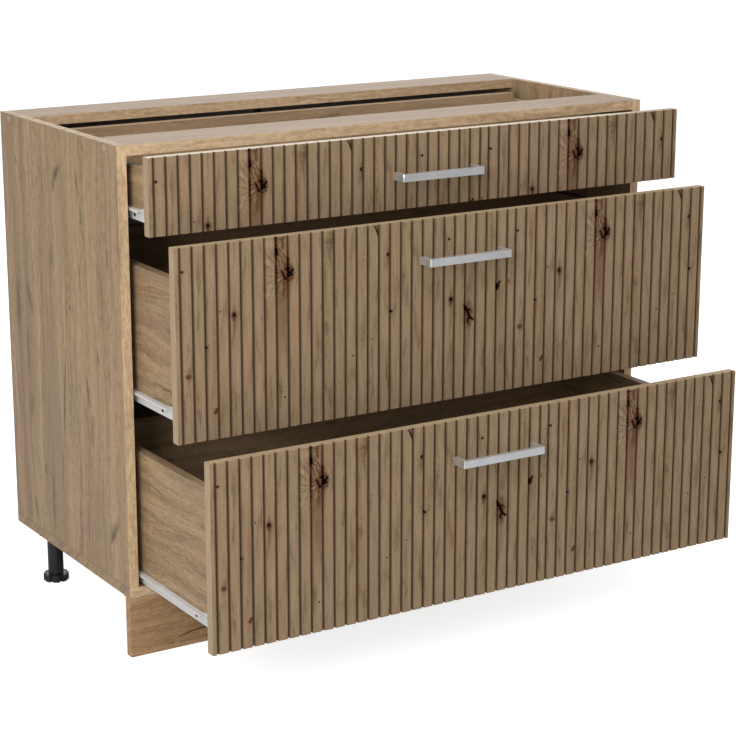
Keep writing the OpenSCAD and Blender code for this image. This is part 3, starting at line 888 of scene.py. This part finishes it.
def repeat(model: Piece, name: str, spots: Iterable[Spot]) -> Piece:
    """Sets copies of a small model at several places and joins them.

    Args:
        model: The model, standing on the origin along +Z. It is used up.
        name: Name of the joined piece.
        spots: For each copy, where it stands and which way its axis points, in metres.

    Returns:
        The joined piece, with its place in its mesh.
    """
    copies = []
    for place, way in spots:
        one = model.copy()
        one.data = model.data.copy()
        bpy.context.scene.collection.objects.link(one)
        one.rotation_mode = "QUATERNION"
        one.rotation_quaternion = Vector(way).to_track_quat("Z", "Y")
        one.location = place
        copies.append(one)
    deselect()
    for one in copies:
        one.select_set(True)
    bpy.context.view_layer.objects.active = copies[0]
    bpy.ops.object.transform_apply()
    bpy.ops.object.join()
    piece = bpy.context.object
    piece.name = name
    bpy.data.objects.remove(model)
    return piece


def settle(piece: Piece, body: str, slot: str, material: Material, *nodes: str) -> None:
    """Gives a piece its material and body.

    Args:
        piece: The piece.
        body: Name of the body it rides on.
        slot: The record's material slot; not used.
        material: Its material.
        *nodes: Solids that it stands for.
    """
    piece.data.materials.clear()
    piece.data.materials.append(material)
    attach(piece, body)
    if nodes:
        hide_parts(*nodes)
    log.info("piece %s on %s", piece.name, body)


def dress(name: str, material: Material, ease: float = 0.0) -> None:
    """Gives a solid its material and, if asked, eased edges.

    Args:
        name: Name of the solid's node.
        material: Its material.
        ease: Width of the eased edges in metres.
    """
    node = frame["nodes"][name]
    node.data.materials.clear()
    node.data.materials.append(material)
    for polygon in node.data.polygons:
        polygon.material_index = 0
    if ease:
        soften(node, ease)
    log.info("solid %s dressed with %s", name, material.name)


def cut_cross(head: Piece, level: float, turn: float, size: Triple) -> None:
    """Cuts a cross into a head.

    Args:
        head: The head.
        level: Height of the cut's middle in metres.
        turn: Angle of the cross in radians.
        size: Length, width and height of the tool.
    """
    for quarter in (0.0, math.pi / 2):
        deselect()
        bpy.ops.mesh.primitive_cube_add(size=1, location=(0, 0, level), rotation=(0, 0, quarter + turn))
        blade = bpy.context.object
        blade.scale = size
        bpy.ops.object.transform_apply()
        carve(head, blade)
    smooth(head, SHARP_ANGLE)


def pan_head(radius: float = 0.0035, height: float = 0.0021) -> Piece:
    """Models a domed screw head with a cross recess.

    Args:
        radius: Radius of the head in metres.
        height: Height of the head.

    Returns:
        The model.
    """
    head = rod(radius, height)
    pick_faces(head, lambda middle, normal: normal.z > LEVEL)
    bpy.ops.mesh.bevel(offset=height * 0.6, segments=3, affect="EDGES")
    bpy.ops.object.mode_set(mode="OBJECT")
    cut_cross(head, height, 0.4, (radius * 1.15, radius * 0.24, height * 1.1))
    return head


def nail_head() -> Piece:
    """Models a low domed nail head.

    Returns:
        The model.
    """
    radius = 0.0019
    head = rod(radius, 0.0006, 12)
    dish(head, radius * 0.45, 0.00025)
    smooth(head, 50)
    return head


def cam(radius: float = 0.0075) -> Piece:
    """Models the face of a furniture cam with its driver slot.

    Args:
        radius: Radius of the cam in metres.

    Returns:
        The model.
    """
    thick = 0.0005
    disc = rod(radius, thick, 28)
    dish(disc, radius * 0.16, -thick / 2)
    cut_cross(disc, thick, 0.3, (radius * 1.05, radius * 0.2, 0.0007))
    return disc


def fasten(model: Piece, name: str, body: str, spots: list[Spot], zinc: Material) -> None:
    """Sets zinc-plated copies of a model at the spots, as one piece that rides on the body."""
    settle(repeat(model, name, spots), body, "zinc_steel", zinc)


def spaced(first: float, last: float, pitch: float) -> list[float]:
    """Spaces points evenly.

    Args:
        first: Where the first one is.
        last: Where the last one is.
        pitch: About how far apart they are.

    Returns:
        The points.
    """
    steps = round((last - first) / pitch)
    return [first + i * (last - first) / steps for i in range(steps + 1)]


def mirrored(x: float, y: float, z: float, way: int) -> list[Spot]:
    """Gives a spot and its mirror image, with axes along X of the given sign at the first."""
    return [((side * x, y, z), (side * way, 0, 0)) for side in (1, -1)]


@dataclass
class Carcass:
    """The box of boards with its back and plinth."""

    finishes: Finishes
    front_y: float = -0.07205
    nail_pitch: float = 0.09
    nail_inset: float = 0.008
    column_end: float = 0.015
    row_end: float = 0.05
    strip_gap: float = 0.012
    leg_x: float = 0.456
    leg_rows: tuple[float, ...] = (0.055, 0.395)
    socket_ring: float = 0.0235
    clip_step: float = 0.017
    rear_rail_front: float = 0.357
    nail_sink: float = 0.00005
    clip_plate: float = 0.003
    socket_plate: float = 0.0035
    side_marks: tuple[Brushmark, ...] = tuple(Brushmark(*row) for row in (
        (233, 743, 15, 30, -0.7, 0.5), (228, 748, 7, 18, -0.8, 0.6), (240, 722, 5, 10, -0.4, 0.5),
        (49, 196, 15, 32, -0.65, 0.5), (54, 188, 7, 16, -0.6, 0.65), (192, 534, 4, 7, 0, 0.85),
        (90, 471, 5, 12, 0.2, 0.6), (317, 230, 6, 14, 0.1, 0.6), (226, 380, 3.6, 110, -0.12, 0.75),
        (208, 530, 2.6, 70, -0.07, 0.55), (243, 255, 3, 60, -0.1, 0.5), (288, 180, 3.4, 80, -0.02, 0.75),
        (294, 330, 2.4, 50, 0.03, 0.5), (150, 740, 5, 34, 0.12, 0.55), (139, 690, 3.4, 40, 0.1, 0.5),
        (46, 640, 5, 28, 0, 0.5), (134, 410, 6, 36, 0.2, 0.55), (120, 345, 9, 40, 0, 0.4),
        (150, 590, 4, 40, 0.05, 0.5), (69, 560, 2.6, 70, 0.02, 0.5), (357, 520, 12, 40, 0.3, 0.45),
        (405, 500, 9, 60, 0, 0.5), (372, 420, 5, 60, 0, 0.45), (363, 150, 6, 24, 0.35, 0.6),
        (366, 330, 14, 30, -0.2, 0.35), (417, 340, 3, 70, 0.08, 0.45), (148, 180, 2.6, 46, 0, 0.5),
        (392, 745, 4, 14, 0.3, 0.6),
    ))

    def build(self) -> None:
        """Models the nails of the back and the screws of clips and sockets."""
        self._nail_back()
        self._screw_clips()
        self._screw_sockets()

    def _nail_back(self) -> None:
        """Sets a row of nails round the back boards."""
        low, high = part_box("back_board_left")
        rear = high.y - self.nail_sink
        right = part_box("back_board_right")[1].x
        back: Triple = (0, 1, 0)
        spots = []
        for x in (low.x + self.nail_inset, right - self.nail_inset):
            heights = spaced(low.z + self.column_end, high.z - self.column_end, self.nail_pitch)
            spots += [((x, rear, z), back) for z in heights]
        for x in spaced(low.x + self.row_end, right - self.row_end, self.nail_pitch):
            if abs(x - high.x) >= self.strip_gap:
                spots += [((x, rear, z), back) for z in (low.z + self.nail_inset, high.z - self.nail_inset)]
        fasten(nail_head(), "back_nails", "carcass", spots, self.finishes.zinc)

    def _screw_clips(self) -> None:
        """Sets the screws that hold the clips on the plinth board."""
        low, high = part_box("plinth_clips")
        middle = (low.z + high.z) / 2
        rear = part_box("plinth_board")[1].y + self.clip_plate
        steps = (-self.clip_step, self.clip_step)
        spots = [((x + step, rear, middle), (0, 1, 0)) for x in (-self.leg_x, self.leg_x) for step in steps]
        fasten(pan_head(), "plinth_clip_screws", "carcass", spots, self.finishes.zinc)

    def _screw_sockets(self) -> None:
        """Sets four screws in each leg socket."""
        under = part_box("leg_sockets")[1].z - self.socket_plate
        ring = [(math.cos(math.radians(turn)), math.sin(math.radians(turn))) for turn in (45, 135, 225, 315)]
        spots = []
        for x in (-self.leg_x, self.leg_x):
            for y in (self.front_y + row for row in self.leg_rows):
                for cosine, sine in ring:
                    place = (x + self.socket_ring * cosine, y + self.socket_ring * sine, under)
                    spots.append((place, (0, 0, -1)))
        fasten(pan_head(0.0038), "leg_socket_screws", "carcass", spots, self.finishes.zinc)

    def dress(self) -> None:
        """Puts the oak print, the back and the plinth's finish on."""
        shift = self.front_y * MM
        marks = tuple(replace(mark, across=mark.across + shift) for mark in self.side_marks)
        painted_seam_shadow, top = (corner.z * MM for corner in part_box("left_side_panel"))
        streak = (Brushmark(812, 55, 3.0, 50, -0.12, 0.8),)
        cracks = (
            Brushmark(25, -372, 2.0, 40, 0.08, 1.0, (58, 38, 24)),
            Brushmark(21, -402, 1.6, 24, 0.2, 0.8, (84, 58, 38)),
        )
        side = {"raw_top": top, "light_front": shift, "painted_seam_shadow": painted_seam_shadow}
        rail = {"warm": 0.35, "painted_top_shade": top, "fibres": 1.6}
        rear = (self.front_y + self.rear_rail_front) * MM
        for node, name, oak in (
            ("left_side_panel", "oak_side_left", BoardOak(Axis.Z, 2.0, marks, **side)),
            ("right_side_panel", "oak_side_right", BoardOak(Axis.Z, 31.0, marks[:7], **side)),
            ("front_top_rail", "oak_front_rail", BoardOak(Axis.X, 47.0, streak, light_front=shift, **rail)),
            ("rear_top_rail", "oak_rear_rail", BoardOak(Axis.X, 53.0, streak, light_front=rear, lip=0.5, **rail)),
            ("bottom_panel", "oak_bottom", BoardOak(Axis.X, 61.0, light_front=shift)),
            ("plinth_board", "oak_plinth", BoardOak(Axis.X, 71.0, cracks, warm=0.85, wild=1.2, fibres=1.5)),
        ):
            dress(node, oak.material(name), BOARD_EASE)
        for node, finish in (
            ("back_board_left", self.finishes.hardboard),
            ("back_board_right", self.finishes.hardboard),
            ("back_joint_strip", self.finishes.brown),
            ("rail_dowels", self.finishes.beech),
            ("confirmat_caps", self.finishes.cap),
            ("confirmat_screws", self.finishes.zinc),
            ("plinth_clips", self.finishes.black),
        ):
            dress(node, finish)


@dataclass
class Legs:
    """The four adjustable legs."""

    finishes: Finishes
    corners: tuple[str, ...] = ("front_left", "front_right", "rear_left", "rear_right")
    pad_top: float = 0.0125
    pad_ease: float = 0.0007

    def build(self) -> None:
        """Rounds the turned shapes of tubes, sockets and feet."""
        rounded_copy("leg_tubes", "leg_tube_set")
        rounded_copy("leg_sockets", "leg_socket_set")
        for corner in self.corners:
            foot = rounded_copy(f"foot_{corner}", f"foot_pad_{corner}")
            pick_faces(foot, lambda middle, normal: abs(normal.z) > LEVEL and middle.z < self.pad_top)
            bpy.ops.mesh.select_mode(type="EDGE")
            bpy.ops.mesh.region_to_loop()
            bpy.ops.mesh.bevel(offset=self.pad_ease, segments=2, affect="EDGES")
            bpy.ops.object.mode_set(mode="OBJECT")

    def dress(self) -> None:
        """Makes them black plastic in place of their plain solids."""
        rows = [("leg_tube_set", "carcass", "leg_tubes"), ("leg_socket_set", "carcass", "leg_sockets")]
        rows += [(f"foot_pad_{corner}", f"foot_{corner}_body", f"foot_{corner}") for corner in self.corners]
        for name, body, node in rows:
            settle(bpy.data.objects[name], body, "black_plastic", self.finishes.black, node)


@dataclass
class Drawer:
    """One drawer with its front, box, handle and runners."""

    level: Level
    finishes: Finishes
    front_y: float
    decor: GroovedOak = GroovedOak()
    screw_steps: tuple[float, ...] = (0.064, 0.192, 0.352)
    slot_steps: tuple[float, ...] = (0.0845, 0.310)
    slot_height: float = 0.0072
    screw_height: float = 0.011
    steel: float = 0.0012
    cam_step: float = 0.034
    cam_edge: float = 0.05
    low_side: float = 0.1
    cam_sink: float = 0.00002
    head_sink: float = 0.0001
    shadow_disc_radius: float = 0.0026
    shadow_disc_stretch: float = 1.55
    shadow_disc_proud: float = 0.00003
    shadow_disc_dish: float = 0.0003
    front_ease: float = 0.00035
    handle_ease: float = 0.0005

    def build(self) -> None:
        """Models cams, runner screws and the rounded rollers."""
        name = self.level.value
        for place in ("front", "rear"):
            node = f"{name}_{place}_rollers"
            rollers = rounded_copy(node, f"{name}_{place}_roller_set")
            settle(rollers, f"{name}_{place}_roller_pair", "nylon", self.finishes.nylon, node)
        self._cams()
        self._runner_screws()
        self._runner_slot_shadows()

    def _cams(self) -> None:
        """Sets the cams that hold the front, and the screw heads that hold the back."""
        name = self.level.value
        low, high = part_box(f"{name}_drawer_side_left")
        levels = [low.z + self.cam_edge]
        if high.z - low.z >= self.low_side:
            levels.append(high.z - self.cam_edge)
        inner = high.x - self.cam_sink
        spots = [spot for z in levels for spot in mirrored(inner, low.y + self.cam_step, z, 1)]
        fasten(cam(), f"{name}_drawer_cams", f"{name}_drawer", spots, self.finishes.zinc)
        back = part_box(f"{name}_drawer_back")
        middle = (back[0].y + back[1].y) / 2
        outer = low.x + self.head_sink
        spots = [spot for z in levels for spot in mirrored(outer, middle, z, -1)]
        fasten(cam(0.0045), f"{name}_drawer_screws", f"{name}_drawer", spots, self.finishes.zinc)

    def _runner_screws(self) -> None:
        """Sets the screws that hold the cabinet members on the side panels."""
        name = self.level.value
        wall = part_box(f"{name}_cabinet_runner_left")[0].x + self.steel
        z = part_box(f"{name}_drawer_runner_left")[0].z + self.screw_height
        spots = [spot for step in self.screw_steps for spot in mirrored(wall, self.front_y + step, z, 1)]
        fasten(pan_head(0.0033, 0.0014), f"{name}_runner_screws", "carcass", spots, self.finishes.zinc)

    def _runner_slot_shadows(self) -> None:
        """Fills the spare screw slots in the members under the drawer with flat black discs: a painted shadow in
        the open holes.
        """
        name = self.level.value
        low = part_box(f"{name}_drawer_runner_left")[0]
        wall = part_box(f"{name}_drawer_side_left")[0].x
        spots = []
        for step in self.slot_steps:
            spots += mirrored(wall, low.y + step, low.z + self.slot_height, -1)
        # Painted shadow: black discs sized to the slots, standing a little proud of the steel.
        shadow_disc = rod(self.shadow_disc_radius, self.steel + self.shadow_disc_proud, 16)
        shadow_disc.scale = (self.shadow_disc_stretch, 1.0, 1.0)
        bpy.ops.object.transform_apply()
        dish(shadow_disc, self.shadow_disc_dish, -self.shadow_disc_dish)
        shadow_discs = repeat(shadow_disc, f"{name}_runner_slot_shadows", spots)
        settle(shadow_discs, f"{name}_drawer", "black_plastic", self.finishes.shadow)

    def dress(self) -> None:
        """Puts the finishes on the drawer's solids."""
        name = self.level.value
        low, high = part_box(f"{name}_drawer_front")
        front = self.decor.material(f"grooved_oak_{name}", low.x * MM, high.z * MM, low.y * MM)
        dress(f"{name}_drawer_front", front, self.front_ease)
        seed = {Level.TOP: 83.0, Level.MIDDLE: 97.0, Level.BOTTOM: 103.0}[self.level]
        side = BoardOak(Axis.Y, seed, warm=0.1, wild=1.2, fibres=1.6, depth=0.51)
        for hand in ("left", "right"):
            dress(f"{name}_drawer_side_{hand}", side.material(f"oak_{name}_{hand}"), BOARD_EASE)
            dress(f"{name}_cabinet_runner_{hand}", self.finishes.white_steel)
            dress(f"{name}_drawer_runner_{hand}", self.finishes.white_steel)
        back = BoardOak(Axis.X, seed + 7, warm=0.2)
        dress(f"{name}_drawer_back", back.material(f"oak_{name}_back"), BOARD_EASE)
        dress(f"{name}_drawer_base", self.finishes.hardboard)
        dress(f"{name}_handle", self.finishes.satin, self.handle_ease)
        dress(f"{name}_handle_screws", self.finishes.zinc)


@dataclass
class Studio:
    """Floor, light and camera."""

    camera_at: Triple = (-1.83595, -2.93205, 1.30411)
    turned_right: float = 0.5565
    tilted_down: float = 0.2579
    lens: float = 103.24
    sky: float = 0.55
    floor_drop: float = 0.0004
    lamps: tuple[tuple[str, Triple, Triple, float, float], ...] = (
        ("overhead_panel", (-0.4, -0.7, 3.2), (0.0, 0.1, 0.3), 3.0, 55.0),
        ("left_panel", (-2.6, -1.8, 1.6), (-0.3, 0.0, 0.45), 1.5, 62.0),
        ("rear_panel", (1.7, 3.3, 1.8), (0.0, 0.0, 0.8), 2.4, 30.0),
        ("right_panel", (3.1, 0.5, 1.1), (0.5, 0.15, 0.45), 1.6, 26.0),
    )

    def build(self) -> None:
        """Sets the floor, the lamps and the camera."""
        deselect()
        bpy.ops.mesh.primitive_plane_add(size=120, location=(0, 0, -self.floor_drop))
        floor = bpy.context.object
        floor.name = "studio_floor"
        bench = NodeBench(bpy.data.materials.new("studio_floor_paint"))
        x, y, _ = bench.place()
        cloud = bench.noise((x * 0.002, y * 0.002), 2.0)
        colour = bench.ramp(cloud, (0.3, 196, 196, 196), (0.7, 200, 200, 200))
        seen = bench.node("ShaderNodeLightPath")
        glow = bench.blend(seen, tone(0, 0, 0), tone(255, 255, 255))
        shell = {"Specular_IOR_Level": 0.0, "Emission_Color": glow, "Emission_Strength": 0.8}
        floor.data.materials.append(bench.finish(colour, 0.9, **shell))
        self._lamps()
        self._sky()
        self._camera()

    def _lamps(self) -> None:
        """Hangs the soft panel lamps, each turned to its target."""
        for name, place, target, size, power in self.lamps:
            data = bpy.data.lights.new(name, "AREA")
            data.size = size
            data.energy = power
            lamp = bpy.data.objects.new(name, data)
            lamp.visible_camera = False
            lamp.location = place
            lamp.rotation_mode = "QUATERNION"
            lamp.rotation_quaternion = (Vector(target) - Vector(place)).to_track_quat("-Z", "Y")
            bpy.context.scene.collection.objects.link(lamp)

    def _sky(self) -> None:
        """Lights everything softly from all round, before a ground that the camera sees white."""
        world = bpy.data.worlds.new("studio_surroundings")
        bpy.context.scene.world = world
        bench = NodeBench(world)
        white = {"Color": tone(255, 255, 255)}
        light = bench.node("ShaderNodeBackground", {}, {"Strength": self.sky, **white})
        ground = bench.node("ShaderNodeBackground", {}, white)
        seen = bench.node("ShaderNodeLightPath")
        mixed = bench.node("ShaderNodeMixShader", {}, {0: seen, 1: light, 2: ground})
        bench.node("ShaderNodeOutputWorld", {}, {0: mixed})
        bpy.context.scene.view_settings.view_transform = "Standard"
        bpy.context.scene.view_settings.look = "None"

    def _camera(self) -> None:
        """Puts the camera at the photograph's viewing angle."""
        data = bpy.data.cameras.new("photo_camera")
        data.lens = self.lens
        data.sensor_width = 36.0
        data.clip_end = 200.0
        camera = bpy.data.objects.new("photo_camera", data)
        camera.location = self.camera_at
        camera.rotation_euler = (math.pi / 2 - self.tilted_down, 0.0, -self.turned_right)
        bpy.context.scene.collection.objects.link(camera)
        bpy.context.scene.camera = camera


def main() -> None:
    """Builds the looks in order."""
    logging.basicConfig(level=logging.INFO, format="%(name)s: %(message)s")
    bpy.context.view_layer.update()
    finishes = Finishes()
    carcass = Carcass(finishes)
    drawers = [Drawer(level, finishes, carcass.front_y) for level in Level]
    for part in (carcass, Legs(finishes), *drawers):
        part.build()
        part.dress()
    Studio().build()


if __name__ == "__main__":
    main()
